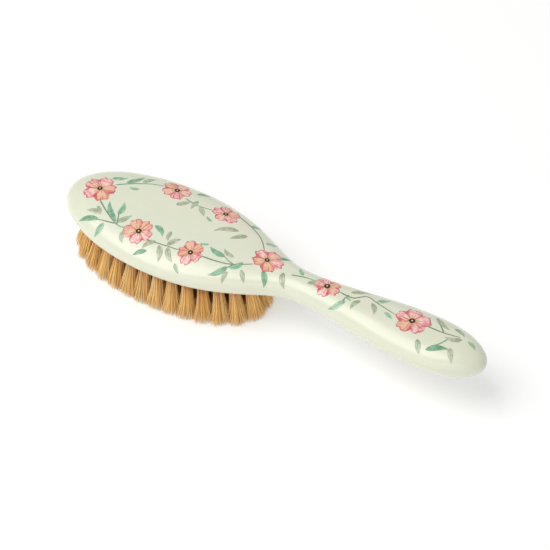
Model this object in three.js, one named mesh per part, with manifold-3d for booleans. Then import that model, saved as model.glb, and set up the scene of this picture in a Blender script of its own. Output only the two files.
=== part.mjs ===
// Vanity hairbrush: a one-piece lacquered wooden body with natural-bristle tufts set in blind holes.
// Millimetres, +Z up. The brush lies on its bristle tips (z = 0), head towards -X, handle towards +X,
// and the origin is under the middle of its length.

import * as THREE from 'three';
import { mergeVertices } from 'three/addons/utils/BufferGeometryUtils.js';
import Module from 'manifold-3d';

const wasm = await Module();
wasm.setup();

// Body outline seen from above: distances from the head's nose, and half widths.
const LENGTH = 175;
const HEAD_WIDEST = 45;
const WAIST = 100;
const GRIP_WIDEST = 151;
const HEAD_HALF_WIDTH = 21.5;
const WAIST_HALF_WIDTH = 6.2;
const GRIP_HALF_WIDTH = 11.2;

// How far the outline runs straight on past each of those places before it turns.
const NOSE_BLUNTNESS = 11.4;
const HEAD_FULLNESS = 26;
const SHOULDER_FULLNESS = 30;
const WAIST_FULLNESS = 13;
const NECK_FULLNESS = 17;
const GRIP_FULLNESS = 19;
const BUTT_FULLNESS = 15;
const BUTT_BLUNTNESS = 5;

// Heights: the seam height is where a section is widest.
const BRISTLE_LENGTH = 17;
const FACE_DEPTH = 5.3;
const SEAM_HEIGHT = BRISTLE_LENGTH + FACE_DEPTH;
const CROWN_RISE = { head: 6.5, waist: 5.2, grip: 5.7 };
const GRIP_DEPTH = 7.2;
const EDGE_RADIUS = 4.5;
const CROWN_SQUARENESS = 2.2;
const ROUND_OFF = { crownAtNose: 20, faceAtNose: 5, butt: 12 };

// Where the head's section turns into the waist's, and the waist's into the grip's.
const HEAD_TO_WAIST = [60, 98];
const FACE_TO_NECK = [82, 104];
const WAIST_TO_GRIP = [102, 140];

// Bristle pad: two rings of tufts and a middle row, on the flat face of the head.
const PAD_CENTRE = 44.5;
const OUTER_RING = { count: 28, root: [34.8, 14.8], tip: [38.6, 17.6], phase: 0.5 };
const INNER_RING = { count: 22, root: [28.4, 7.6], tip: [30.4, 9.0], phase: 0 };
const MIDDLE_ROW = { count: 9, rootPitch: 5.6, tipPitch: 5.8 };

// One tuft: a round bundle held in a drilled hole, spreading towards its trimmed tips.
const HOLE_RADIUS = 1.9;
const HOLE_DEPTH = 7.5;
const FIT_GAP = 0.3;
const TUFT_TIP_RADIUS = 2.65;
const TUFT_NECK = 0.35;
const TUFT_NECK_RADIUS = 2.0;

// Facets.
const STATIONS_PER_CURVE = 10;
const CROWN_FACETS = 14;
const EDGE_FACETS = 4;
const HOLE_SIDES = 10;
const TUFT_SIDES = 8;

const LACQUER = { color: 0xe4e7d2, roughness: 0.3, metalness: 0 };
const BRISTLE = { color: 0xcd9b5f, roughness: 0.8, metalness: 0 };

const { lerp, smoothstep } = THREE.MathUtils;

// A quarter-circle ease from 0 at an end of the body to 1 at `reach` from it.
function roundOff(distance, reach) {
  const remaining = 1 - Math.min(distance / reach, 1);
  return Math.sqrt(1 - remaining * remaining);
}

// Half of the body's outline, from the nose along one side to the butt.
function bodyOutline() {
  const outline = new THREE.Path();
  outline.moveTo(0, 0);
  outline.bezierCurveTo(
    0, NOSE_BLUNTNESS,
    HEAD_WIDEST - HEAD_FULLNESS, HEAD_HALF_WIDTH,
    HEAD_WIDEST, HEAD_HALF_WIDTH,
  );
  outline.bezierCurveTo(
    HEAD_WIDEST + SHOULDER_FULLNESS, HEAD_HALF_WIDTH,
    WAIST - WAIST_FULLNESS, WAIST_HALF_WIDTH,
    WAIST, WAIST_HALF_WIDTH,
  );
  outline.bezierCurveTo(
    WAIST + NECK_FULLNESS, WAIST_HALF_WIDTH,
    GRIP_WIDEST - GRIP_FULLNESS, GRIP_HALF_WIDTH,
    GRIP_WIDEST, GRIP_HALF_WIDTH,
  );
  outline.bezierCurveTo(
    GRIP_WIDEST + BUTT_FULLNESS, GRIP_HALF_WIDTH,
    LENGTH, BUTT_BLUNTNESS,
    LENGTH, 0,
  );
  return outline;
}

function riseAboveSeam(x) {
  const headToWaist = lerp(CROWN_RISE.head, CROWN_RISE.waist, smoothstep(x, ...HEAD_TO_WAIST));
  const rise = headToWaist + (CROWN_RISE.grip - CROWN_RISE.waist) * smoothstep(x, ...WAIST_TO_GRIP);
  return rise * roundOff(x, ROUND_OFF.crownAtNose) * roundOff(LENGTH - x, ROUND_OFF.butt);
}

function depthBelowSeam(x) {
  const depth = lerp(FACE_DEPTH, GRIP_DEPTH, smoothstep(x, ...WAIST_TO_GRIP));
  return depth * roundOff(x, ROUND_OFF.faceAtNose) * roundOff(LENGTH - x, ROUND_OFF.butt);
}

// The head has a flat underside with rounded edges; the neck and grip are round underneath.
function undersideRadius(x, halfWidth) {
  const round = 0.95 * halfWidth;
  return lerp(Math.min(EDGE_RADIUS, round), round, smoothstep(x, ...FACE_TO_NECK));
}

// The closed loop of the body's section at one station: over the crown, then back underneath.
function bodySection(x, halfWidth) {
  const rise = riseAboveSeam(x);
  const depth = depthBelowSeam(x);
  const radius = undersideRadius(x, halfWidth);
  const loop = [];
  for (let i = 0; i <= CROWN_FACETS; i++) {
    const angle = (Math.PI * i) / CROWN_FACETS;
    const across = Math.abs(Math.cos(angle)) ** (2 / CROWN_SQUARENESS);
    const up = Math.abs(Math.sin(angle)) ** (2 / CROWN_SQUARENESS);
    const y = halfWidth * Math.sign(Math.cos(angle)) * across;
    loop.push(new THREE.Vector3(x, y, SEAM_HEIGHT + rise * up));
  }
  for (const side of [-1, 1]) {
    for (let i = 0; i < EDGE_FACETS; i++) {
      const step = side < 0 ? i + 1 : EDGE_FACETS - i;
      const angle = (0.5 * Math.PI * step) / EDGE_FACETS;
      const y = side * (halfWidth - radius + radius * Math.cos(angle));
      loop.push(new THREE.Vector3(x, y, SEAM_HEIGHT - depth * Math.sin(angle)));
    }
  }
  return loop;
}

// Joins equal loops into a closed skin that ends in a point at each end.
function loft(startPoint, loops, endPoint) {
  const size = loops[0].length;
  const points = [startPoint, ...loops.flat(), endPoint];
  const last = points.length - 1;
  const at = (loop, i) => 1 + loop * size + (i % size);
  const index = [];
  for (let i = 0; i < size; i++) {
    index.push(0, at(0, i + 1), at(0, i));
    index.push(last, at(loops.length - 1, i), at(loops.length - 1, i + 1));
    for (let loop = 0; loop < loops.length - 1; loop++) {
      index.push(at(loop, i), at(loop, i + 1), at(loop + 1, i));
      index.push(at(loop, i + 1), at(loop + 1, i + 1), at(loop + 1, i));
    }
  }
  const geometry = new THREE.BufferGeometry().setFromPoints(points);
  geometry.setIndex(index);
  return geometry;
}

// Exchange of closed meshes with manifold-3d, which drills the holes.
function toSolid(geometry) {
  const bare = geometry.clone();
  bare.deleteAttribute('normal');
  bare.deleteAttribute('uv');
  const merged = mergeVertices(bare, 1e-5);
  return new wasm.Manifold(new wasm.Mesh({
    numProp: 3,
    vertProperties: new Float32Array(merged.attributes.position.array),
    triVerts: new Uint32Array(merged.index.array),
  }));
}

function toGeometry(solid) {
  const mesh = solid.getMesh();
  const geometry = new THREE.BufferGeometry();
  geometry.setAttribute('position', new THREE.BufferAttribute(mesh.vertProperties, 3));
  geometry.setIndex(new THREE.BufferAttribute(mesh.triVerts, 1));
  geometry.computeVertexNormals();
  return geometry;
}

// Stands a shape made along +Y, from its root at y = 0, on the head's face with its tip end down,
// and leans it so that it passes through `tip` at z = 0.
function plantInHead(geometry, root, tip) {
  const leanX = (root.x - tip.x) / BRISTLE_LENGTH;
  const leanY = (root.y - tip.y) / BRISTLE_LENGTH;
  geometry.rotateX(-Math.PI / 2);
  geometry.applyMatrix4(new THREE.Matrix4().makeShear(0, 0, 0, 0, leanX, leanY));
  geometry.translate(root.x, root.y, BRISTLE_LENGTH);
  return geometry;
}

function tuftGeometry({ root, tip }) {
  const bundleRadius = HOLE_RADIUS - FIT_GAP;
  const profile = [
    [0, FIT_GAP - HOLE_DEPTH],
    [bundleRadius, FIT_GAP - HOLE_DEPTH],
    [bundleRadius, 0],
    [TUFT_NECK_RADIUS, TUFT_NECK * BRISTLE_LENGTH],
    [TUFT_TIP_RADIUS, BRISTLE_LENGTH],
    [0, BRISTLE_LENGTH],
  ].map(([radius, reach]) => new THREE.Vector2(radius, reach));
  return plantInHead(new THREE.LatheGeometry(profile, TUFT_SIDES), root, tip);
}

function holeGeometry({ root, tip }) {
  const breakthrough = 1;
  const drill = new THREE.CylinderGeometry(HOLE_RADIUS, HOLE_RADIUS, HOLE_DEPTH + breakthrough, HOLE_SIDES);
  drill.translate(0, (breakthrough - HOLE_DEPTH) / 2, 0);
  return plantInHead(drill, root, tip);
}

// Root and tip centres of the tufts, named by ring.
function ringPlaces(name, { count, root, tip, phase }) {
  const rootRing = new THREE.EllipseCurve(0, 0, ...root);
  const places = [];
  for (let i = 0; i < count; i++) {
    const centre = rootRing.getPointAt(((i + phase) / count) % 1);
    const spread = new THREE.Vector2(tip[0] / root[0], tip[1] / root[1]);
    places.push({ name: `${name}_${i + 1}`, root: centre, tip: centre.clone().multiply(spread) });
  }
  return places;
}

function rowPlaces(name, { count, rootPitch, tipPitch }) {
  const places = [];
  for (let i = 0; i < count; i++) {
    const steps = i - (count - 1) / 2;
    const root = new THREE.Vector2(steps * rootPitch, 0);
    const tip = new THREE.Vector2(steps * tipPitch, 0);
    places.push({ name: `${name}_${i + 1}`, root, tip });
  }
  return places;
}

function tuftPlaces() {
  const places = [
    ...ringPlaces('outer_tuft', OUTER_RING),
    ...ringPlaces('inner_tuft', INNER_RING),
    ...rowPlaces('middle_tuft', MIDDLE_ROW),
  ];
  const padOffset = new THREE.Vector2(PAD_CENTRE - LENGTH / 2, 0);
  for (const place of places) {
    place.root.add(padOffset);
    place.tip.add(padOffset);
  }
  return places;
}

function bodyGeometry(places) {
  const stations = bodyOutline().getPoints(STATIONS_PER_CURVE).slice(1, -1);
  const blank = loft(
    new THREE.Vector3(0, 0, SEAM_HEIGHT),
    stations.map(({ x, y }) => bodySection(x, y)),
    new THREE.Vector3(LENGTH, 0, SEAM_HEIGHT),
  );
  blank.translate(-LENGTH / 2, 0, 0);
  let solid = toSolid(blank);
  for (const place of places) {
    solid = solid.subtract(toSolid(holeGeometry(place)));
  }
  return toGeometry(solid);
}

function part(name, geometry, finish) {
  const mesh = new THREE.Mesh(geometry, new THREE.MeshStandardMaterial(finish));
  mesh.name = name;
  return mesh;
}

const places = tuftPlaces();
const brush = new THREE.Group();
brush.name = 'vanity_hairbrush';
brush.add(part('wooden_body', bodyGeometry(places), LACQUER));
for (const place of places) {
  brush.add(part(place.name, tuftGeometry(place), BRISTLE));
}

export default brush;
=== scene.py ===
import math

import bmesh
import bpy
import numpy as np
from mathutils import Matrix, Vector


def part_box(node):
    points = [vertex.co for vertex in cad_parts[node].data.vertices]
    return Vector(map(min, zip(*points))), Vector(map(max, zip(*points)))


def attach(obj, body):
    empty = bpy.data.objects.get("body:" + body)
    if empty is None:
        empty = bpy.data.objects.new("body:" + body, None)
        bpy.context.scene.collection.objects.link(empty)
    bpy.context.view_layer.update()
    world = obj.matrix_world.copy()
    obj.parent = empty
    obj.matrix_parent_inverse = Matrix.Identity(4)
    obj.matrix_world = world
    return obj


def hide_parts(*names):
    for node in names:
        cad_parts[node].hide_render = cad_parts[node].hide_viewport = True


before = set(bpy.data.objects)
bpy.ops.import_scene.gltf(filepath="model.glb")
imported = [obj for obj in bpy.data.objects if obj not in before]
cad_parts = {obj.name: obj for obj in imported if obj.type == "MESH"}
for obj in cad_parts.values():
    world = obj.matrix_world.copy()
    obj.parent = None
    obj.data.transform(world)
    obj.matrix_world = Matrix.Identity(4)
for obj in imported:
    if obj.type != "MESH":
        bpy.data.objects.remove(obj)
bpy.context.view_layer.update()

MM = 0.001
SEED = 7
rng = np.random.default_rng(SEED)

# ---------------------------------------------------------------- sizes, in millimetres

body_low, body_high = (np.array(corner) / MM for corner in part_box("wooden_body"))
NOSE_X = body_low[0]
LENGTH = body_high[0] - body_low[0]

# Body outline seen from above: distances from the nose, and half widths there.
HEAD_WIDEST = 45
WAIST = 100
GRIP_WIDEST = 151
HEAD_HALF_WIDTH = body_high[1]
WAIST_HALF_WIDTH = 6.2
GRIP_HALF_WIDTH = 11.2
NOSE_BLUNTNESS = 11.4
HEAD_FULLNESS = 26
SHOULDER_FULLNESS = 30
WAIST_FULLNESS = 13
NECK_FULLNESS = 17
GRIP_FULLNESS = 19
BUTT_FULLNESS = 15
BUTT_BLUNTNESS = 5

# Heights: the face is the flat underside of the head, the seam is where a section is widest.
FACE_HEIGHT = 17
FACE_DEPTH = 5.3
SEAM_HEIGHT = FACE_HEIGHT + FACE_DEPTH
HEAD_RISE = 6.5
WAIST_RISE = 5.2
GRIP_RISE = 5.7
GRIP_DEPTH = 7.2
EDGE_RADIUS = 4.5
CROWN_SQUARENESS = 2.2
CROWN_ROUND_OFF = 20
FACE_ROUND_OFF = 5
BUTT_ROUND_OFF = 12
HEAD_TO_WAIST = (60, 98)
FACE_TO_NECK = (82, 104)
WAIST_TO_GRIP = (102, 140)

HOLE_RADIUS = 1.9
HOLE_DEPTH = 7.5
HOLE_EASING = 0.18


# ---------------------------------------------------------------- body surface

def smoothstep(x, low, high):
    t = np.clip((x - low) / (high - low), 0, 1)
    return t * t * (3 - 2 * t)


def round_off(distance, reach):
    """A quarter-circle ease from 0 at an end of the body to 1 at reach from it."""
    remaining = 1 - np.clip(distance / reach, 0, 1)
    return np.sqrt(1 - remaining**2)


def bezier(points, steps):
    p = np.array(points, float)
    t = np.linspace(0, 1, steps + 1)[:, None]
    return (1 - t) ** 3 * p[0] + 3 * (1 - t) ** 2 * t * p[1] + 3 * (1 - t) * t**2 * p[2] + t**3 * p[3]


def body_outline(steps):
    """Stations along the body with their half widths, from the nose to the butt."""
    head = (HEAD_WIDEST, HEAD_HALF_WIDTH)
    waist = (WAIST, WAIST_HALF_WIDTH)
    grip = (GRIP_WIDEST, GRIP_HALF_WIDTH)
    curves = [
        [(0, 0), (0, NOSE_BLUNTNESS), (head[0] - HEAD_FULLNESS, head[1]), head],
        [head, (head[0] + SHOULDER_FULLNESS, head[1]), (waist[0] - WAIST_FULLNESS, waist[1]), waist],
        [waist, (waist[0] + NECK_FULLNESS, waist[1]), (grip[0] - GRIP_FULLNESS, grip[1]), grip],
        [grip, (grip[0] + BUTT_FULLNESS, grip[1]), (LENGTH, BUTT_BLUNTNESS), (LENGTH, 0)],
    ]
    parts = [bezier(curve, steps)[:-1] for curve in curves]
    return np.concatenate(parts + [[(LENGTH, 0)]])


FINE_OUTLINE = body_outline(400)


def half_width(x):
    return np.interp(x, FINE_OUTLINE[:, 0], FINE_OUTLINE[:, 1])


def rise_above_seam(x):
    rise = HEAD_RISE + (WAIST_RISE - HEAD_RISE) * smoothstep(x, *HEAD_TO_WAIST)
    rise = rise + (GRIP_RISE - WAIST_RISE) * smoothstep(x, *WAIST_TO_GRIP)
    return rise * round_off(x, CROWN_ROUND_OFF) * round_off(LENGTH - x, BUTT_ROUND_OFF)


def depth_below_seam(x):
    depth = FACE_DEPTH + (GRIP_DEPTH - FACE_DEPTH) * smoothstep(x, *WAIST_TO_GRIP)
    return depth * round_off(x, FACE_ROUND_OFF) * round_off(LENGTH - x, BUTT_ROUND_OFF)


def underside_radius(x, width):
    """The head is flat underneath with rounded edges, and the neck and grip are round."""
    full = 0.95 * width
    blend = smoothstep(x, *FACE_TO_NECK)
    return np.minimum(EDGE_RADIUS, full) * (1 - blend) + full * blend


def half_sections(x, crown_steps=30, edge_steps=14, flat_steps=8):
    """For stations x, the points (y, z) of half a section from the crown to under its middle."""
    x = np.asarray(x, float)[:, None]
    width = half_width(x)
    radius = underside_radius(x, width)
    crown = np.linspace(math.pi / 2, 0, crown_steps + 1)[None]
    edge = np.linspace(0, math.pi / 2, edge_steps + 1)[None, 1:]
    flat = np.linspace(1, 0, flat_steps + 1)[None, 1:]
    power = 2 / CROWN_SQUARENESS
    y = [
        width * np.abs(np.cos(crown)) ** power,
        width - radius + radius * np.cos(edge),
        (width - radius) * flat,
    ]
    z = [
        SEAM_HEIGHT + rise_above_seam(x) * np.abs(np.sin(crown)) ** power,
        SEAM_HEIGHT - depth_below_seam(x) * np.sin(edge),
        SEAM_HEIGHT - depth_below_seam(x) + 0 * flat,
    ]
    y, z = np.concatenate(y, 1), np.concatenate(z, 1)
    y[:, 0] = 0
    return y, z


def skin_points(x, s, keel):
    """Points on the body at distance x from the nose and s round the section from the crown,
    or from the keel, the middle of the underside. s is positive on the +Y side of the crown."""
    y, z = half_sections(x)
    steps = np.hypot(np.diff(y, axis=1), np.diff(z, axis=1))
    reach = np.concatenate([np.zeros((len(y), 1)), np.cumsum(steps, 1)], 1)
    half_way = reach[:, -1]
    s = s + half_way * keel
    s = (s + half_way) % (2 * half_way) - half_way
    wanted = np.abs(s)
    after = np.clip((reach < wanted[:, None]).sum(1), 1, reach.shape[1] - 1)
    row = np.arange(len(y))
    span = np.maximum(reach[row, after] - reach[row, after - 1], 1e-9)
    t = (wanted - reach[row, after - 1]) / span
    py = y[row, after - 1] * (1 - t) + y[row, after] * t
    pz = z[row, after - 1] * (1 - t) + z[row, after] * t
    return np.stack([x + NOSE_X, np.sign(s) * py, pz], 1)


def skin(x, s, lift, keel):
    """Points raised by lift from the body's surface, along its normal."""
    reach = 0.05
    x = np.clip(x, 2 * reach, LENGTH - 2 * reach)
    along = skin_points(x + reach, s, keel) - skin_points(x - reach, s, keel)
    across = skin_points(x, s + reach, keel) - skin_points(x, s - reach, keel)
    normal = np.cross(along, across)
    normal /= np.linalg.norm(normal, axis=1)[:, None]
    return skin_points(x, s, keel) + normal * np.asarray(lift)[:, None]


# ---------------------------------------------------------------- mesh helpers

def mesh_piece(name, points, faces, material, slot=None):
    """A smooth-shaded piece from points in millimetres; faces is an array of quads or a list.
    A piece with a slot rides on the brush."""
    mesh = bpy.data.meshes.new(name)
    faces = faces.tolist() if isinstance(faces, np.ndarray) else faces
    mesh.from_pydata((np.asarray(points) * MM).tolist(), [], faces)
    mesh.shade_smooth()
    mesh.materials.append(material)
    piece = bpy.data.objects.new(name, mesh)
    bpy.context.scene.collection.objects.link(piece)
    if slot:
        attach(piece, "root")
    return piece


def set_values(piece, **values):
    """Stores named numbers on the mesh's points, for its material to read."""
    for name, numbers in values.items():
        layer = piece.data.attributes.new(name, "FLOAT", "POINT")
        layer.data.foreach_set("value", np.asarray(numbers, np.float32).ravel())


def ring_faces(rings, sides):
    """Quads between successive closed rings of points."""
    ring, side = np.meshgrid(np.arange(rings - 1), np.arange(sides), indexing="ij")
    ring, side = ring.ravel() * sides, side.ravel()
    ahead = (side + 1) % sides
    return np.stack([ring + side, ring + ahead, ring + sides + ahead, ring + sides + side], 1)


def closed_stack_faces(rings, sides, start):
    """Quads between successive rings and a face over each end; start is the first point's number."""
    last = start + sides * (rings - 1)
    faces = (ring_faces(rings, sides) + start).tolist()
    faces.append([start + i for i in reversed(range(sides))])
    faces.append([last + i for i in range(sides)])
    return faces


# ---------------------------------------------------------------- materials

class Nodes:
    """A short way to write one material's node tree."""

    def __init__(self, name):
        self.material = bpy.data.materials.new(name)
        self.material.use_nodes = True
        self.tree = self.material.node_tree
        self.shader = self.tree.nodes["Principled BSDF"]

    def add(self, kind, inputs=(), **settings):
        """A new node with its settings, and its inputs set to values or linked to sockets."""
        node = self.tree.nodes.new(kind)
        for key, value in settings.items():
            setattr(node, key, value)
        for socket, value in dict(inputs).items():
            if isinstance(value, bpy.types.NodeSocket):
                self.tree.links.new(value, node.inputs[socket])
            else:
                node.inputs[socket].default_value = value
        return node

    def set(self, **inputs):
        """Sets or links the shader's own inputs, with _ for each space in their names."""
        for name, value in inputs.items():
            socket = self.shader.inputs[name.replace("_", " ")]
            if isinstance(value, bpy.types.NodeSocket):
                self.tree.links.new(value, socket)
            else:
                socket.default_value = value

    def place(self, stretch):
        """The point's own place on the object, drawn in or out along each axis."""
        coordinates = self.add("ShaderNodeTexCoord")
        inputs = {"Vector": coordinates.outputs["Object"], "Scale": stretch}
        return self.add("ShaderNodeMapping", inputs).outputs["Vector"]

    def streaks(self, across, along, seed, detail=2):
        """Noise drawn out along a brush stroke, from the stroke's own stored values."""
        values = {
            "X": self.math("MULTIPLY", self.value("across"), across),
            "Y": self.math("MULTIPLY", self.value("reach"), along),
            "Z": self.math("MULTIPLY", self.value("tone"), seed),
        }
        place = self.add("ShaderNodeCombineXYZ", values).outputs["Vector"]
        inputs = {"Vector": place, "Scale": 1, "Detail": detail}
        return self.add("ShaderNodeTexNoise", inputs).outputs["Fac"]

    def noise(self, size, detail=2, stretch=(1, 1, 1)):
        """Noise from 0 to 1 whose features are about size millimetres across."""
        inputs = {"Vector": self.place(stretch), "Scale": 1 / (size * MM), "Detail": detail}
        return self.add("ShaderNodeTexNoise", inputs).outputs["Fac"]

    def value(self, name):
        """A number stored on the mesh's points."""
        return self.add("ShaderNodeAttribute", attribute_name=name).outputs["Fac"]

    def math(self, operation, *numbers):
        return self.add("ShaderNodeMath", dict(enumerate(numbers)), operation=operation).outputs[0]

    def remap(self, value, low, high, to_low=0.0, to_high=1.0):
        """The value carried from low and high to to_low and to_high, and held there beyond them."""
        inputs = {"Value": value, "From Min": low, "From Max": high, "To Min": to_low, "To Max": to_high}
        return self.add("ShaderNodeMapRange", inputs).outputs["Result"]

    def ramp(self, value, *stops):
        """A colour ramp through (place, colour) stops."""
        node = self.add("ShaderNodeValToRGB", {"Fac": value})
        elements = node.color_ramp.elements
        while len(elements) < len(stops):
            elements.new(0.5)
        for element, (place, colour) in zip(elements, stops):
            element.position = place
            element.color = (*colour, 1)
        return node.outputs["Color"]

    def mix(self, amount, first, second):
        """The first colour, turning into the second as amount goes from 0 to 1."""
        factor, first_colour, second_colour, mixed_colour = 0, 6, 7, 2  # a colour mix's sockets
        inputs = {factor: amount}
        for socket, colour in ((first_colour, first), (second_colour, second)):
            inputs[socket] = (*colour, 1) if isinstance(colour, tuple) else colour
        return self.add("ShaderNodeMix", inputs, data_type="RGBA").outputs[mixed_colour]

    def bump(self, height, depth, strength, under=None):
        """A bump whose height of 1 stands depth millimetres proud, over another bump if one is given."""
        inputs = {"Height": height, "Distance": depth * MM, "Strength": strength}
        if under is not None:
            inputs["Normal"] = under
        return self.add("ShaderNodeBump", inputs).outputs["Normal"]


CREAM = (0.725, 0.757, 0.60)
CREAM_WARM = (0.745, 0.75, 0.588)
CREAM_COOL = (0.705, 0.747, 0.60)
CREAM_PALE = (0.80, 0.79, 0.66)
GRAIN_SHADE = (0.60, 0.58, 0.42)


def lacquer_material():
    """Cream lacquer over beech: a little uneven in tone, with a fine orange peel and faint grain."""
    n = Nodes("cream_lacquer")
    drift = n.remap(n.noise(26, 3), 0.35, 0.65)
    tone = n.ramp(drift, (0, CREAM_WARM), (0.5, CREAM), (1, CREAM_COOL))
    grain = n.noise(1.1, 3, (0.06, 1, 1))
    grained = n.mix(n.remap(grain, 0.25, 0.8, 0, 0.12), tone, GRAIN_SHADE)
    cloud = n.remap(n.noise(6, 1), 0.2, 0.8, 0, 0.2)
    peel = n.bump(n.noise(1.6, 2), 0.03, 0.2)
    relief = n.bump(grain, 0.01, 0.15, peel)
    n.set(
        Base_Color=n.mix(cloud, grained, CREAM_PALE),
        Roughness=n.remap(n.noise(9, 3), 0.3, 0.7, 0.29, 0.37),
        Normal=relief,
        Coat_Weight=0.5,
        Coat_Roughness=0.2,
        Coat_IOR=1.5,
    )
    return n.material


def raw_wood_material():
    """Bare beech inside the drilled holes."""
    n = Nodes("bare_beech")
    grain = n.noise(0.9, 6, (0.1, 1, 1))
    n.set(
        Base_Color=n.ramp(grain, (0.3, (0.42, 0.25, 0.12)), (0.7, (0.62, 0.42, 0.24))),
        Roughness=n.remap(grain, 0.3, 0.7, 0.7, 0.85),
        Normal=n.bump(grain, 0.05, 0.5),
    )
    return n.material


BROWN_HAIR = (0.40, 0.16, 0.04)
PALE_HAIR = (1.0, 0.82, 0.44)
HAIR_STREAK = (0.50, 0.24, 0.08)


def bristle_material():
    """Natural bristle: dark at the root, partly its own colour and partly painted shade under the head,
    and golden on its length, some hairs darker and some paler.
    """
    n = Nodes("natural_bristle")
    along = n.value("along")
    tone = n.value("tone")
    # Near black at the root: partly the bristle's own darker root, partly painted shade where the head and
    # the hole shade the hairs.
    golden_and_root_shade = n.ramp(
        along,
        (0.0, (0.10, 0.025, 0.008)),
        (0.12, (0.40, 0.15, 0.04)),
        (0.3, (0.84, 0.43, 0.12)),
        (0.62, (1.0, 0.60, 0.165)),
        (1.0, (0.88, 0.54, 0.18)),
    )
    darker = n.mix(n.remap(tone, 0.0, 0.25, 0.7, 0.0), golden_and_root_shade, BROWN_HAIR)
    varied = n.mix(n.remap(tone, 0.55, 1.0, 0.0, 0.8), darker, PALE_HAIR)
    streak = n.noise(0.5, 2, (1, 1, 0.12))
    n.set(
        Base_Color=n.mix(n.remap(streak, 0.45, 0.8, 0, 0.2), varied, HAIR_STREAK),
        Roughness=n.remap(streak, 0.3, 0.7, 0.38, 0.52),
        Normal=n.bump(streak, 0.02, 0.4),
    )
    return n.material


def anchor_material():
    """Flat steel wire, dulled where it was drawn and cut."""
    n = Nodes("anchor_wire")
    scratch = n.noise(0.3, 4, (0.1, 0.1, 1))
    n.set(
        Base_Color=n.ramp(scratch, (0.3, (0.36, 0.35, 0.33)), (0.7, (0.62, 0.61, 0.58))),
        Metallic=1.0,
        Roughness=n.remap(scratch, 0.3, 0.7, 0.3, 0.5),
        Normal=n.bump(scratch, 0.01, 0.4),
    )
    return n.material


PINK = (0.82, 0.27, 0.30)
PALE_PINK = (0.93, 0.64, 0.58)
CRIMSON = (0.56, 0.06, 0.09)
PEACH = (0.80, 0.50, 0.29)
SAGE = (0.42, 0.46, 0.31)
PALE_SAGE = (0.59, 0.63, 0.47)
DEEP_SAGE = (0.24, 0.27, 0.17)
MINT = (0.31, 0.55, 0.37)
PALE_MINT = (0.47, 0.69, 0.51)
DEEP_GREEN = (0.13, 0.30, 0.17)
STEM_GREEN = (0.20, 0.225, 0.145)


def petal_material():
    """Brushed petals: peach at the heart, pink on the blade, crimson at the rim and in the veins."""
    n = Nodes("petal_paint")
    reach = n.value("reach")
    rim = n.math("ABSOLUTE", n.value("across"))
    blade = n.ramp(reach, (0.15, PEACH), (0.4, PALE_PINK), (0.65, PINK), (0.86, PALE_PINK), (1.0, PINK))
    wash = n.mix(n.remap(n.noise(1.9, 3), 0.42, 0.6, 0, 0.85), blade, PALE_PINK)
    warm = n.mix(n.remap(n.value("tone"), 0.5, 0.75, 0, 0.75), wash, PEACH)
    vein = n.streaks(5.5, 0.9, 23)
    brush = n.streaks(2.2, 1.6, 57, 3)
    outline = n.math("MAXIMUM", n.remap(rim, 0.6, 0.9), n.remap(reach, 0.8, 0.97))
    broken = n.math("MULTIPLY", outline, n.remap(brush, 0.36, 0.56, 0.15, 0.95))
    edged = n.mix(broken, warm, CRIMSON)
    veined = n.mix(n.remap(vein, 0.53, 0.62, 0, 0.8), edged, CRIMSON)
    n.set(
        Base_Color=veined,
        Roughness=n.remap(vein, 0.3, 0.7, 0.3, 0.42),
        Normal=n.bump(vein, 0.04, 0.5),
        Coat_Weight=0.4,
        Coat_Roughness=0.16,
    )
    return n.material


def leaf_material():
    """Brushed leaves and stems: each between sage, mint and a deeper green, darker on the midrib."""
    n = Nodes("leaf_paint")
    reach = n.value("reach")
    rim = n.math("ABSOLUTE", n.value("across"))
    tone = n.value("tone")
    own = n.ramp(tone, (0.2, SAGE), (0.5, MINT), (0.85, DEEP_GREEN), (1.0, STEM_GREEN))
    deep = n.ramp(tone, (0.2, DEEP_SAGE), (0.5, DEEP_GREEN))
    pale = n.ramp(tone, (0.2, PALE_SAGE), (0.5, PALE_MINT), (0.85, MINT), (1.0, STEM_GREEN))
    tipped = n.mix(n.remap(reach, 0.0, 0.8, 0.5, 0.0), own, deep)
    wash = n.mix(n.remap(n.noise(1.6, 3), 0.42, 0.62, 0, 0.75), tipped, pale)
    ribbed = n.mix(n.remap(rim, 0.05, 0.2, 0.6, 0.0), wash, deep)
    streak = n.streaks(3.5, 0.8, 31)
    n.set(
        Base_Color=n.mix(n.remap(streak, 0.5, 0.68, 0, 0.5), ribbed, deep),
        Roughness=n.remap(streak, 0.3, 0.7, 0.3, 0.42),
        Normal=n.bump(streak, 0.04, 0.5),
        Coat_Weight=0.4,
        Coat_Roughness=0.16,
    )
    return n.material


UMBER = (0.30, 0.14, 0.05)
TAN = (0.62, 0.36, 0.13)
DARK_TAN = (0.24, 0.09, 0.03)


def heart_material():
    """A flower's heart: a pale dot in a dark brown ring, with tan stamens."""
    n = Nodes("heart_paint")
    reach = n.value("reach")
    ring = n.ramp(
        reach,
        (0.0, (0.92, 0.84, 0.68)),
        (0.2, (0.86, 0.70, 0.48)),
        (0.3, (0.03, 0.010, 0.004)),
        (0.8, (0.045, 0.016, 0.006)),
        (1.0, (0.26, 0.11, 0.04)),
    )
    stamen = n.mix(reach, DARK_TAN, TAN)
    colour = n.mix(n.remap(n.value("tone"), 0.45, 0.55), ring, stamen)
    mottle = n.noise(0.5, 3)
    n.set(
        Base_Color=n.mix(n.remap(mottle, 0.5, 0.75, 0, 0.3), colour, UMBER),
        Roughness=n.remap(mottle, 0.3, 0.7, 0.45, 0.6),
        Normal=n.bump(mottle, 0.03, 0.4),
        Specular_IOR_Level=0.3,
    )
    return n.material


# ---------------------------------------------------------------- tufts, placed by the CAD nodes

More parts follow.
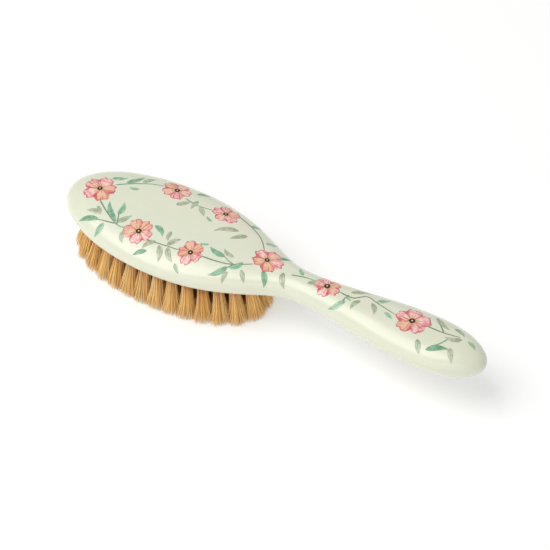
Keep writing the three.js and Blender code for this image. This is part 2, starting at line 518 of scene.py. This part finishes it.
class Tuft:
    """Where one CAD tuft stands: its axis through the head's face, from its fold to its tips, and
    beside, the level direction square to its lean, in which its ring runs."""

    def __init__(self, name):
        self.name = name
        points = np.array([v.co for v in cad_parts[name].data.vertices]) / MM
        low, high = points[:, 2].min(), points[:, 2].max()
        tip_ring = points[points[:, 2] < low + 0.01]
        fold_ring = points[points[:, 2] > high - 0.01]
        self.tip = (tip_ring.min(0) + tip_ring.max(0)) / 2
        self.fold = (fold_ring.min(0) + fold_ring.max(0)) / 2
        self.tip_radius = np.ptp(tip_ring[:, 1]) / 2
        self.root_radius = np.ptp(fold_ring[:, 1]) / 2
        self.lean = (self.tip[:2] - self.fold[:2]) / (self.tip[2] - self.fold[2])
        upright = 1e-6  # keeps a direction for a tuft with no lean
        beside = np.array([-self.lean[1], self.lean[0] + upright])
        self.beside = beside / np.hypot(*beside)

    def centre(self, z):
        """The axis at height z, for any shape of z."""
        flat = self.fold[:2] + self.lean * (np.asarray(z)[..., None] - self.fold[2])
        return np.concatenate([flat, np.asarray(z)[..., None]], -1)


tufts = [Tuft(name) for name in sorted(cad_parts) if "tuft" in name]

# A hair runs from one tip into the hole, over the anchor and out to its other tip, so that it has
# two limbs. Places on a limb's free length go from 0 at its tip to 1 at the mouth of the hole.
HAIRS_PER_TUFT = 125
HAIR_RADIUS = 0.13
LIMB_PLACES = np.array([0.0, 0.12, 0.35, 0.62, 0.85, 1.0])
MOUTH_SPREAD = 0.25
TIP_FLARE = 1.22
TIP_FAN = 0.45
TIP_ROUNDING = 0.35
TIP_UNEVENNESS = 0.16
TALLEST_TIP = 2.2
PLACE_SCATTER = 0.05
SPLAY_SCATTER = 0.05
SWAY = 0.06
# Painted shade: how much further down the inner tufts the dark root colour reaches.
INNER_PAINTED_SHADE = 7

ANCHOR_THICKNESS = 0.45
ANCHOR_HEIGHT = 1.5
ANCHOR_BITE = 0.05


def bundle_offsets():
    """Places of the hairs across one side of the anchor, evenly packed in a half disc of radius 1."""
    count = 2 * HAIRS_PER_TUFT
    order = np.arange(count) + 0.5
    radius = np.sqrt(order / count)
    angle = order * math.pi * (3 - math.sqrt(5))
    disc = np.stack([radius * np.cos(angle), radius * np.sin(angle)], 1)
    above = disc[np.argsort(-disc[:, 1])[:HAIRS_PER_TUFT]]
    above[:, 1] = np.abs(above[:, 1])
    return above


def scattered_offsets(side):
    """The hairs' places on one side of the anchor, 1 or -1, each a little off its even place."""
    return bundle_offsets() * (1, side) + rng.normal(0, PLACE_SCATTER, (HAIRS_PER_TUFT, 2))


def free_length(tuft, offsets):
    """The limbs' points outside the hole: a column that opens and fans out along its ring at the tips."""
    from_mouth = 1 - LIMB_PLACES
    splay = rng.exponential(SPLAY_SCATTER, HAIRS_PER_TUFT)
    rounding = TIP_ROUNDING * np.hypot(*offsets.T) ** 3
    tip_z = rounding + rng.exponential(TIP_UNEVENNESS, HAIRS_PER_TUFT)
    tip_z = np.clip(tip_z, 0.0, TALLEST_TIP)
    z = tip_z[:, None] + (FACE_HEIGHT - tip_z)[:, None] * LIMB_PLACES
    column = tuft.root_radius + MOUTH_SPREAD * np.clip(5 * from_mouth, 0, 1)
    flare = TIP_FLARE * tuft.tip_radius - tuft.root_radius - MOUTH_SPREAD
    radius = (column + flare * from_mouth**2.2) * (1 + splay[:, None] * from_mouth**2)
    flat = offsets[:, None, :] * radius[..., None]
    fanned = flat @ tuft.beside * TIP_FAN * from_mouth**3
    bowed = np.sin(0.8 * math.pi * from_mouth)[None, :, None]
    points = tuft.centre(z)
    points[..., :2] += flat + fanned[..., None] * tuft.beside
    points[..., :2] += rng.normal(0, SWAY, (HAIRS_PER_TUFT, 1, 2)) * bowed
    return points


def held_length(tuft, offsets, side):
    """The limbs' points inside the hole: half way up it, and against the anchor's flank."""
    half_way = FACE_HEIGHT + 3.4
    anchor_top = tuft.fold[2] - 0.4
    points = tuft.centre(np.full((HAIRS_PER_TUFT, 2), (half_way, anchor_top)))
    points[:, 0, :2] += offsets * tuft.root_radius * 0.95
    points[:, 1, 0] += offsets[:, 0] * tuft.root_radius * 0.9
    points[:, 1, 1] += side * (ANCHOR_THICKNESS / 2 + 0.15 + 0.9 * np.abs(offsets[:, 1]))
    return points


def hair_paths(tuft):
    """Each hair's points, from one tip up into the hole, over the anchor and down to the other tip."""
    sides = (1, -1)
    limbs = []
    for side, offsets in zip(sides, [scattered_offsets(side) for side in sides]):
        free, held = free_length(tuft, offsets), held_length(tuft, offsets, side)
        limbs.append(np.concatenate([free, held], 1))
    crest = (limbs[0][:, -1] + limbs[1][:, -1]) / 2
    crest[:, 2] = tuft.fold[2] - 0.1 * rng.random(HAIRS_PER_TUFT)
    return np.concatenate([limbs[0], crest[:, None], limbs[1][:, ::-1]], 1)


def hair_mesh(paths):
    """Four-sided tapered strands along the paths, with their points' places along the hair."""
    hairs, steps = paths.shape[:2]
    tangent = np.gradient(paths, axis=1)
    tangent /= np.linalg.norm(tangent, axis=2)[..., None]
    side = np.array([1.0, 0, 0]) - tangent * tangent[..., :1]
    side /= np.linalg.norm(side, axis=2)[..., None]
    other = np.cross(tangent, side)
    from_tip = np.minimum(np.arange(steps), np.arange(steps)[::-1])
    taper = np.interp(from_tip, [0, 1, 2, 3], [0.35, 0.85, 0.95, 1.0])
    thickness = HAIR_RADIUS * taper * rng.uniform(0.8, 1.2, (hairs, 1))
    corners = []
    for turn in range(4):
        angle = math.pi * (turn / 2 + 0.25)
        corners.append(side * math.cos(angle) + other * math.sin(angle))
    rings = paths[:, :, None] + np.stack(corners, 2) * thickness[..., None, None]
    strand = np.concatenate([ring_faces(steps, 4), [[3, 2, 1, 0]], [np.arange(4) + 4 * (steps - 1)]])
    faces = strand[None] + (np.arange(hairs) * steps * 4)[:, None, None]
    along = 1 - np.clip(paths[..., 2] / FACE_HEIGHT, 0, 1)
    return rings.reshape(-1, 3), faces.reshape(-1, 4), np.repeat(along.ravel(), 4)


def make_tuft(tuft, material):
    points, faces, along = hair_mesh(hair_paths(tuft))
    points[:, 2] = np.maximum(points[:, 2], 0)  # nothing reaches below the plane of the tips
    piece = mesh_piece(f"{tuft.name}_bristles", points, faces, material, "natural_bristle")
    tone = np.repeat(rng.random(HAIRS_PER_TUFT), len(points) // HAIRS_PER_TUFT)
    # Painted shade: the inner tufts see little light, so the dark colour of their roots is drawn further
    # down them to stand in for that shade.
    painted_shade = 1 if tuft.name.startswith("outer") else INNER_PAINTED_SHADE
    set_values(piece, along=along**painted_shade, tone=tone)
    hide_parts(tuft.name)


def make_anchors(material):
    """One flat wire staple across the fold of each tuft, its ends bitten into the wall of the hole."""
    outline = [(0.5, -0.34), (0.34, -0.5), (-0.34, -0.5), (-0.5, -0.34)]
    outline += [(-y, -z) for y, z in outline]
    section = np.array(outline) * (ANCHOR_THICKNESS, ANCHOR_HEIGHT)
    half = [(0.9, 1.0), (0.95, 0.8), (1.0, 0.25)]
    stations = [(-reach, size) for reach, size in reversed(half)] + half
    points, faces = [], []
    for tuft in tufts:
        z = tuft.fold[2] - 0.6 - ANCHOR_HEIGHT / 2
        middle = tuft.centre(z)
        start = len(points)
        for reach, size in stations:
            for y, up in section * size:
                points.append(middle + (reach * (HOLE_RADIUS + ANCHOR_BITE), y, up))
        faces += closed_stack_faces(len(stations), len(section), start)
    anchors = mesh_piece("tuft_anchors", points, faces, material, "anchor_wire")
    turn_faces_out(anchors)


# ---------------------------------------------------------------- wooden body

def body_mesh_arrays():
    """The closed skin of the body, before drilling."""
    stations = body_outline(64)[1:-1]
    y, z = half_sections(stations[:, 0], crown_steps=26, edge_steps=12, flat_steps=6)
    y = np.concatenate([y, -y[:, -2:0:-1]], 1)
    z = np.concatenate([z, z[:, -2:0:-1]], 1)
    x = np.repeat(stations[:, :1], y.shape[1], 1)
    rings = np.stack([x + NOSE_X, y, z], 2)
    count, sides = rings.shape[:2]
    nose = [(NOSE_X, 0, SEAM_HEIGHT)]
    butt = [(NOSE_X + LENGTH, 0, SEAM_HEIGHT)]
    points = np.concatenate([rings.reshape(-1, 3), nose, butt])
    faces = ring_faces(count, sides).tolist()
    last = (count - 1) * sides
    for i in range(sides):
        ahead = (i + 1) % sides
        faces.append([count * sides, ahead, i])
        faces.append([count * sides + 1, last + i, last + ahead])
    return points, faces


def drill_mesh(material):
    """All the blind holes as one cutter, each with a slightly eased mouth."""
    sides = 20
    eased = HOLE_RADIUS + HOLE_EASING
    start_below = 0.6
    levels = [
        (FACE_HEIGHT - start_below, eased + start_below),
        (FACE_HEIGHT, eased),
        (FACE_HEIGHT + 0.2, HOLE_RADIUS),
        (FACE_HEIGHT + HOLE_DEPTH, HOLE_RADIUS),
    ]
    angle = (np.arange(sides) + 0.5) * 2 * math.pi / sides
    circle = np.stack([np.cos(angle), np.sin(angle), 0 * angle], 1)
    points, faces = [], []
    for tuft in tufts:
        start = len(points)
        for z, radius in levels:
            points += list(tuft.centre(z) + circle * radius)
        faces += closed_stack_faces(len(levels), sides, start)
    return mesh_piece("drill", points, faces, material)


def turn_faces_out(piece):
    """Makes every face of a closed piece point out."""
    shape = bmesh.new()
    shape.from_mesh(piece.data)
    bmesh.ops.recalc_face_normals(shape, faces=shape.faces)
    shape.to_mesh(piece.data)
    shape.free()


def make_body():
    points, faces = body_mesh_arrays()
    body = mesh_piece("lacquered_body", points, faces, lacquer_material(), "cream_lacquered_wood")
    drill = drill_mesh(raw_wood_material())
    turn_faces_out(body)
    turn_faces_out(drill)
    cut = body.modifiers.new("holes", "BOOLEAN")
    cut.object = drill
    cut.operation = "DIFFERENCE"
    cut.solver = "EXACT"
    cut.material_mode = "TRANSFER"
    evaluated = body.evaluated_get(bpy.context.evaluated_depsgraph_get())
    drilled = bpy.data.meshes.new_from_object(evaluated)
    body.modifiers.clear()
    body.data = drilled
    bpy.data.objects.remove(drill)
    drilled.shade_smooth()
    drilled.set_sharp_from_angle(angle=math.radians(35))
    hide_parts("wooden_body")


# ---------------------------------------------------------------- painted flowers and sprays

# Places on the body are (distance from the nose, distance round the section from the crown, or
# from the keel on the underside).
PAINT_HEIGHT = 0.06
PAINT_RIM = 0.015
PAINT_SUNK = 0.05
FINEST_HALF_WIDTH = 0.05

STEM_WIDTH = 0.62
STEM_HEIGHT = 0.05

# A leaf's width and its greatest bend, as shares of its length, and the width that none passes.
LEAF_WIDTH = 0.4
LEAF_BEND = 0.14
WIDEST_LEAF = 2.5

# A petal's outline, in shares of its flower's radius, and how much higher every other petal lies.
PETALS = 5
PETAL_START = 0.14
PETAL_HALF_WIDTH = 0.45
PETAL_NOTCH = 0.07
PETAL_ROUNDING = 0.36
PETAL_RUFFLE = 0.03
PETAL_STEP = 0.02

# Stamens start and end at these multiples of the heart's radius.
HEART_RADIUS = 1.2
HEART_HEIGHT = 0.12
STAMENS = 10
STAMEN_START = 1.05
STAMEN_END = (2.0, 2.9)
STAMEN_WIDTH = 0.26
STAMEN_HEIGHT = PAINT_HEIGHT + 0.07


def dome(across, reach, height):
    """Lifts for a stroke that is fullest along its middle and thin at its rim and its ends."""
    ends = np.clip(6 * np.minimum(reach, 1 - reach), 0, 1)
    return PAINT_RIM + (height - PAINT_RIM) * np.sqrt(1 - across**2) * ends**0.5


def across_steps(count):
    """Places across a stroke from -1 to 1, closer together towards its rims."""
    return np.sin(np.linspace(-math.pi / 2, math.pi / 2, count))[None]


class Paint:
    """Gathers brush strokes, each a thin closed shell on the skin, into one piece."""

    def __init__(self, name, material, slot, keel):
        self.name, self.material, self.slot, self.keel = name, material, slot, keel
        self.points, self.faces = [], []
        self.reach, self.across, self.tone = [], [], []
        self.count = 0

    def shell(self, x, s, reach, across, tone, lift):
        """A grid of places on the skin, raised by lift, closed by a copy just under the skin."""
        rows, columns = x.shape
        sunk = np.full(x.size, -PAINT_SUNK)
        upper = skin(x.ravel(), s.ravel(), lift.ravel(), self.keel)
        lower = skin(x.ravel(), s.ravel(), sunk, self.keel)
        index = np.arange(x.size).reshape(rows, columns)
        corners = (index[:-1, :-1], index[1:, :-1], index[1:, 1:], index[:-1, 1:])
        quads = np.stack([corner.ravel() for corner in corners], 1)
        rim = np.concatenate([index[0, :-1], index[:-1, -1], index[-1, :0:-1], index[:0:-1, 0]])
        after = np.roll(rim, -1)
        walls = np.stack([rim, after, after + x.size, rim + x.size], 1)
        self.faces.append(np.concatenate([quads, quads[:, ::-1] + x.size, walls]) + self.count)
        self.points += [upper, lower]
        self.count += 2 * x.size
        for kept, values in ((self.reach, reach), (self.across, across), (self.tone, tone)):
            spread = np.broadcast_to(values, x.shape).ravel()
            kept += [spread, spread]

    def stroke(self, places, width, tone, taper, height=PAINT_HEIGHT, spacing=0.55):
        """One stroke of the brush along a smooth line; taper(t) shapes its width from 0 to 1."""
        line = smooth_line(places, spacing)
        t = np.linspace(0, 1, len(line))
        heading = np.gradient(line, axis=0)
        heading /= np.linalg.norm(heading, axis=1)[:, None]
        across = across_steps(7)
        half = np.maximum(width / 2 * taper(t), FINEST_HALF_WIDTH)[:, None] * across
        x = line[:, :1] - heading[:, 1:] * half
        s = line[:, 1:] + heading[:, :1] * half
        reach = np.repeat(t[:, None], across.size, 1)
        across = np.repeat(across, len(t), 0)
        self.shell(x, s, reach, across, tone, dome(across, reach, height))

    def stem(self, places):
        """A fine stroke that thins along its length and is round at both ends."""
        def taper(t):
            return (1 - 0.4 * t) * np.sqrt(np.clip(12 * np.minimum(t, 1 - t), 0.05, 1))

        self.stroke(places, STEM_WIDTH, rng.uniform(0.88, 1.0), taper, STEM_HEIGHT)

    def leaf(self, root, tip, tone, bend):
        """A pointed leaf from root to tip; its bend and LEAF_WIDTH are shares of its length."""
        root, tip = np.array(root, float), np.array(tip, float)
        run = tip - root
        bow = np.array([-run[1], run[0]]) * bend
        places = [root, root + run * 0.33 + bow * 0.9, root + run * 0.67 + bow, tip]
        width = min(LEAF_WIDTH * np.hypot(*run), WIDEST_LEAF)
        self.stroke(places, width, tone, lambda t: np.sin(math.pi * t**0.8) ** 0.8 * (1 - 0.2 * t))

    def petal(self, centre, radii, angle, tone, height):
        """A broad petal with a ruffled, barely notched tip, standing out from a flower's heart."""
        t = np.linspace(0, 1, 13)[:, None]
        across = across_steps(27)
        notch = PETAL_NOTCH * np.exp(-((across / 0.25) ** 2)) + PETAL_ROUNDING * across**4
        ruffle = PETAL_RUFFLE * np.sin(9 * across + 40 * tone)
        out = PETAL_START + (1 - PETAL_START - notch + ruffle) * t
        side = PETAL_HALF_WIDTH * across * (0.2 + 0.8 * np.sin(math.pi / 2 * t**0.8) ** 1.2)
        x = centre[0] + radii[0] * (out * math.cos(angle) - side * math.sin(angle))
        s = centre[1] + radii[1] * (out * math.sin(angle) + side * math.cos(angle))
        reach = np.repeat(t, across.size, 1)
        self.shell(x, s, reach, np.repeat(across, len(t), 0), tone, dome(across, reach, height))

    def heart(self, centre, radius):
        """A small raised disc: a square grid of points drawn in to fill a circle."""
        step = np.linspace(-1, 1, 17)
        u, v = np.meshgrid(step, step, indexing="ij")
        along, around = u * np.sqrt(1 - v**2 / 2), v * np.sqrt(1 - u**2 / 2)
        reach = np.hypot(along, around)
        lift = PAINT_RIM + HEART_HEIGHT * np.sqrt(np.clip(1.02 - reach**2, 0, 1))
        x, s = centre[0] + radius * along, centre[1] + radius * around
        self.shell(x, s, reach, 0 * reach, 0.0, lift)

    def finish(self):
        """Makes the piece from the strokes so far."""
        faces = np.concatenate(self.faces)
        piece = mesh_piece(self.name, np.concatenate(self.points), faces, self.material, self.slot)
        set_values(
            piece,
            reach=np.concatenate(self.reach),
            across=np.concatenate(self.across),
            tone=np.concatenate(self.tone),
        )
        turn_faces_out(piece)


def smooth_line(places, spacing):
    """Points about spacing apart on a Catmull-Rom curve through the places."""
    p = np.array(places, float)
    p = np.concatenate([2 * p[:1] - p[1:2], p, 2 * p[-1:] - p[-2:-1]])
    line = []
    for a, b, c, d in zip(p, p[1:], p[2:], p[3:]):
        steps = max(3, math.ceil(np.hypot(*(c - b)) / spacing))
        t = np.linspace(0, 1, steps, endpoint=False)[:, None]
        cubic = (3 * b - 3 * c + d - a) * t**3 + (2 * a - 5 * b + 4 * c - d) * t**2
        line.append((cubic + (c - a) * t) / 2 + b)
    return np.concatenate(line + [p[-2:-1]])


# Each flower: its heart, its radii along and round the body, and the turn of its first petal.
FLOWERS = {
    "nose": ((13, 0), (6.6, 6.2), 20),
    "near_head": ((37, -11), (5.8, 6.0), 65),
    "near_shoulder": ((59, -10.5), (5.0, 5.8), -15),
    "far_head": ((38, 14.5), (6.0, 5.4), 10),
    "far_shoulder": ((60, 13), (5.6, 5.0), 40),
    "throat": ((85, 0.6), (6.2, 5.2), 5),
    "neck": ((110, 0.8), (5.4, 4.8), 50),
    "grip": ((144.5, 1.3), (6.8, 6.2), 30),
}
UNDER_FLOWERS = {"under_grip": ((143, 0), (6.4, 5.8), 15)}


def make_flower(name, heart, radii, first_turn, petal_paint, heart_paint, keel):
    """Five ruffled petals round a ringed heart, with fine stamens between."""
    petals = Paint(f"{name}_flower_petals", petal_paint, "pink_paint", keel)
    middle = Paint(f"{name}_flower_heart", heart_paint, "brown_paint", keel)
    for i in range(PETALS):
        angle = math.radians(first_turn + 360 / PETALS * i) + rng.uniform(-0.08, 0.08)
        grown = np.array(radii) * rng.uniform(0.92, 1.06)
        height = PAINT_HEIGHT + PETAL_STEP * (i % 2)
        petals.petal(heart, grown, angle, rng.random(), height)
    radius = HEART_RADIUS * rng.uniform(0.8, 1.05)
    middle.heart(heart, radius)
    for i in range(STAMENS):
        angle = 2 * math.pi * (i + rng.uniform(-0.2, 0.2)) / STAMENS
        way = np.array([math.cos(angle), math.sin(angle)])
        start = np.array(heart) + way * radius * STAMEN_START
        end = np.array(heart) + way * radius * rng.uniform(*STAMEN_END)
        middle.stroke([start, end], STAMEN_WIDTH, 1.0, lambda t: 0.6 + 0.4 * t, STAMEN_HEIGHT, 0.3)
    petals.finish()
    middle.finish()


# Each spray: its stems, then its leaves as (root, tip, tone from sage at 0 to deep green at 1).
SPRAYS = {
    "nose": (
        [[(16, -5), (22, -9), (28, -12), (32, -12)], [(28, -12), (26, -7)], [(27, -12), (20, -13)]],
        [
            ((27, -11), (20, -4), 0.7), ((26, -8), (25, -2), 0.6), ((20.5, -12.9), (13, -16), 0.8),
            ((23, -13.5), (22, -20), 0.65), ((17, -8), (20, -11), 0.1), ((27.5, -11.4), (31, -6), 0.3),
            ((20, -10), (14, -11), 0.2), ((32, -13), (34, -18), 0.15),
        ],
    ),
    "near_side": (
        [[(41, -13), (46, -12.5), (50, -12), (55, -11.5)]],
        [
            ((41, -6), (46, -9), 0.75), ((48, -5.5), (49, -10), 0.15), ((45, -12), (42, -17), 0.2),
            ((47, -13), (50, -19), 0.1), ((50.4, -12.3), (55, -17), 0.2), ((49.6, -11.7), (53, -7), 0.1),
            ((44, -17), (40, -20.5), 0.85), ((56, -17), (59, -20), 0.3),
        ],
    ),
    "shoulder": (
        [[(63, -10), (69, -9.3), (75, -7.6), (82, -3.4)], [(75.5, -7.5), (73, -6.9), (70.6, -6)],
         [(75.3, -7.6), (74.7, -8.7), (73.7, -9.9)]],
        [
            ((63, -4), (60, -5), 0.5), ((71, -6), (64, -4.8), 0.75), ((74, -4.6), (69, -3), 0.1),
            ((78, -5), (74, -9.5), 0.55), ((74, -9.4), (69, -15.6), 0.7), ((75, -11), (75, -16), 0.25),
            ((86, -4.5), (89, -10), 0.8), ((93, -1.4), (96, -7), 0.15), ((79, -8), (82, -12), 0.3),
        ],
    ),
    "far_side": (
        [[(17, 4), (22, 8), (28, 12), (33, 14)], [(64, 15.5), (71, 13), (77, 9.6), (82, 4)],
         [(43, 12), (49, 11), (55, 12)]],
        [
            ((14, 7), (19, 10), 0.6), ((20, 7.5), (24, 14.5), 0.7), ((26, 7), (22, 6), 0.5),
            ((25, 11), (28, 16), 0.3), ((42, 7), (46, 11.5), 0.15), ((48, 13.5), (48, 8), 0.2),
            ((50, 11), (54, 7), 0.1), ((58, 6.3), (55, 8), 0.5), ((69, 7.5), (61, 2.5), 0.15),
            ((73, 7), (68, 2.2), 0.1), ((71, 13), (74, 18), 0.6), ((80, 8), (84, 11), 0.4),
            ((88, 3.5), (92, 6.5), 0.85), ((45, 17), (50, 19.5), 0.7),
        ],
    ),
    "neck": (
        [[(96, -1), (101, 0.5), (106, 1)], [(115, 0.5), (121, 0.4), (125, 3.7), (130, 2.5), (138, 0.8)],
         [(119, 1), (118, -3)]],
        [
            ((103, -1.5), (106, 3.2), 0.15), ((119, -2), (114.5, -7.6), 0.45),
            ((118, -1), (121, -1.4), 0.5),
            ((124, 0.4), (122.5, -4.6), 0.3), ((119, 2.4), (125, 6.8), 0.15), ((134, 0), (138, -1.6), 0.5),
            ((129, 3), (133, 7), 0.4), ((100, 1), (97, 4.5), 0.6), ((128, 1.5), (131, -3), 0.2),
        ],
    ),
    "butt": (
        [[(150, 1.8), (157, 2), (163, 3.2)], [(157, 2), (153, 6), (151, 8)],
         [(160, 1), (158, -3), (155, -6)]],
        [
            ((151, 8.5), (158, 4.5), 0.15), ((164, 2.6), (158, 0.4), 0.2), ((159, 6.6), (164, 4.4), 0.3),
            ((154.5, -7.5), (162, -3.8), 0.85), ((162, -3), (165, -8), 0.2), ((150, -5), (153, -10), 0.3),
            ((166, 3), (170, 1), 0.3),
        ],
    ),
}
UNDER_SPRAYS = {
    "under_grip": (
        [[(118, 1), (124, -1.5), (131, 0.5), (137, 0)], [(149, 0), (155, 2), (161, 0)]],
        [
            ((122, -1), (117, -4.5), 0.6), ((125, -1), (121, 4), 0.4), ((131, 0.5), (128, 5.5), 0.7),
            ((129, 0), (132, -5), 0.2), ((155, 1.5), (152, 6.5), 0.5), ((156, 1.8), (161, 5.5), 0.2),
            ((156.4, 1.2), (158, -4), 0.8), ((160.5, 0.2), (166, -1), 0.6),
        ],
    ),
}


def make_spray(name, stems, leaves, paint, keel):
    spray = Paint(f"{name}_spray", paint, "green_paint", keel)
    for places in stems:
        spray.stem(places)
    for root, tip, tone in leaves:
        spray.leaf(root, tip, tone, rng.uniform(-LEAF_BEND, LEAF_BEND))
    spray.finish()


def make_decoration():
    petal_paint, heart_paint, leaf_paint = petal_material(), heart_material(), leaf_material()
    for on_keel, sprays in ((False, SPRAYS), (True, UNDER_SPRAYS)):
        for name, (stems, leaves) in sprays.items():
            make_spray(name, stems, leaves, leaf_paint, on_keel)
    for on_keel, flowers in ((False, FLOWERS), (True, UNDER_FLOWERS)):
        for name, (heart, radii, turn) in flowers.items():
            make_flower(name, heart, radii, turn, petal_paint, heart_paint, on_keel)


# ---------------------------------------------------------------- camera, lights and floor

CAMERA_AZIMUTH = math.radians(30.3)
CAMERA_ELEVATION = math.radians(48.0)
CAMERA_DISTANCE = 961.6
CAMERA_AIM = np.array([-2.6, 6.4, 14.1])
CAMERA_LENS = 170.4


def aimed_object(name, data, place, aim):
    made = bpy.data.objects.new(name, data)
    made.location = Vector(place) * MM
    direction = Vector(aim) - Vector(place)
    made.rotation_euler = direction.to_track_quat("-Z", "Y").to_euler()
    bpy.context.scene.collection.objects.link(made)
    return made


def make_camera():
    back = np.array([
        math.sin(CAMERA_AZIMUTH) * math.cos(CAMERA_ELEVATION),
        -math.cos(CAMERA_AZIMUTH) * math.cos(CAMERA_ELEVATION),
        math.sin(CAMERA_ELEVATION),
    ])
    data = bpy.data.cameras.new("camera")
    data.lens = CAMERA_LENS
    data.clip_start = 0.01
    data.clip_end = 20
    place = CAMERA_AIM + back * CAMERA_DISTANCE
    bpy.context.scene.camera = aimed_object("camera", data, place, CAMERA_AIM)


def make_softbox(name, place, size, power, colour):
    data = bpy.data.lights.new(name, "AREA")
    data.shape = "RECTANGLE"
    data.size, data.size_y = size[0] * MM, size[1] * MM
    data.energy = power
    data.color = colour
    aimed_object(name, data, place, (0, 0, 20))


def make_lights():
    """A large soft key light from the left, a wide front light and a weak back light."""
    make_softbox("key_softbox", (-330, -330, 900), (760, 760), 6.3, (1, 0.99, 0.965))
    make_softbox("front_softbox", (250, -1000, 480), (1300, 520), 2.0, (1, 0.99, 0.97))
    make_softbox("back_softbox", (-200, 900, 600), (900, 400), 0.5, (0.97, 0.985, 1))
    world = bpy.data.worlds.new("studio")
    world.use_nodes = True
    background = world.node_tree.nodes["Background"]
    background.inputs["Color"].default_value = (1, 1, 1, 1)
    background.inputs["Strength"].default_value = 0.47
    bpy.context.scene.world = world
    bpy.context.scene.view_settings.view_transform = "Standard"


def make_floor():
    """A wide pale floor with a little light of its own, so that it stays white beyond the shadow."""
    n = Nodes("pale_floor")
    n.set(Base_Color=(0.76, 0.76, 0.76, 1), Roughness=0.7, Specular_IOR_Level=0.1)
    n.set(Emission_Color=(1, 1, 1, 1), Emission_Strength=0.3)
    reach = 4000
    corners = [(-reach, -reach, 0), (reach, -reach, 0), (reach, reach, 0), (-reach, reach, 0)]
    mesh_piece("floor", corners, [[0, 1, 2, 3]], n.material)


make_camera()
make_lights()
make_floor()
make_body()
bristle = bristle_material()
for tuft in tufts:
    make_tuft(tuft, bristle)
make_anchors(anchor_material())
make_decoration()
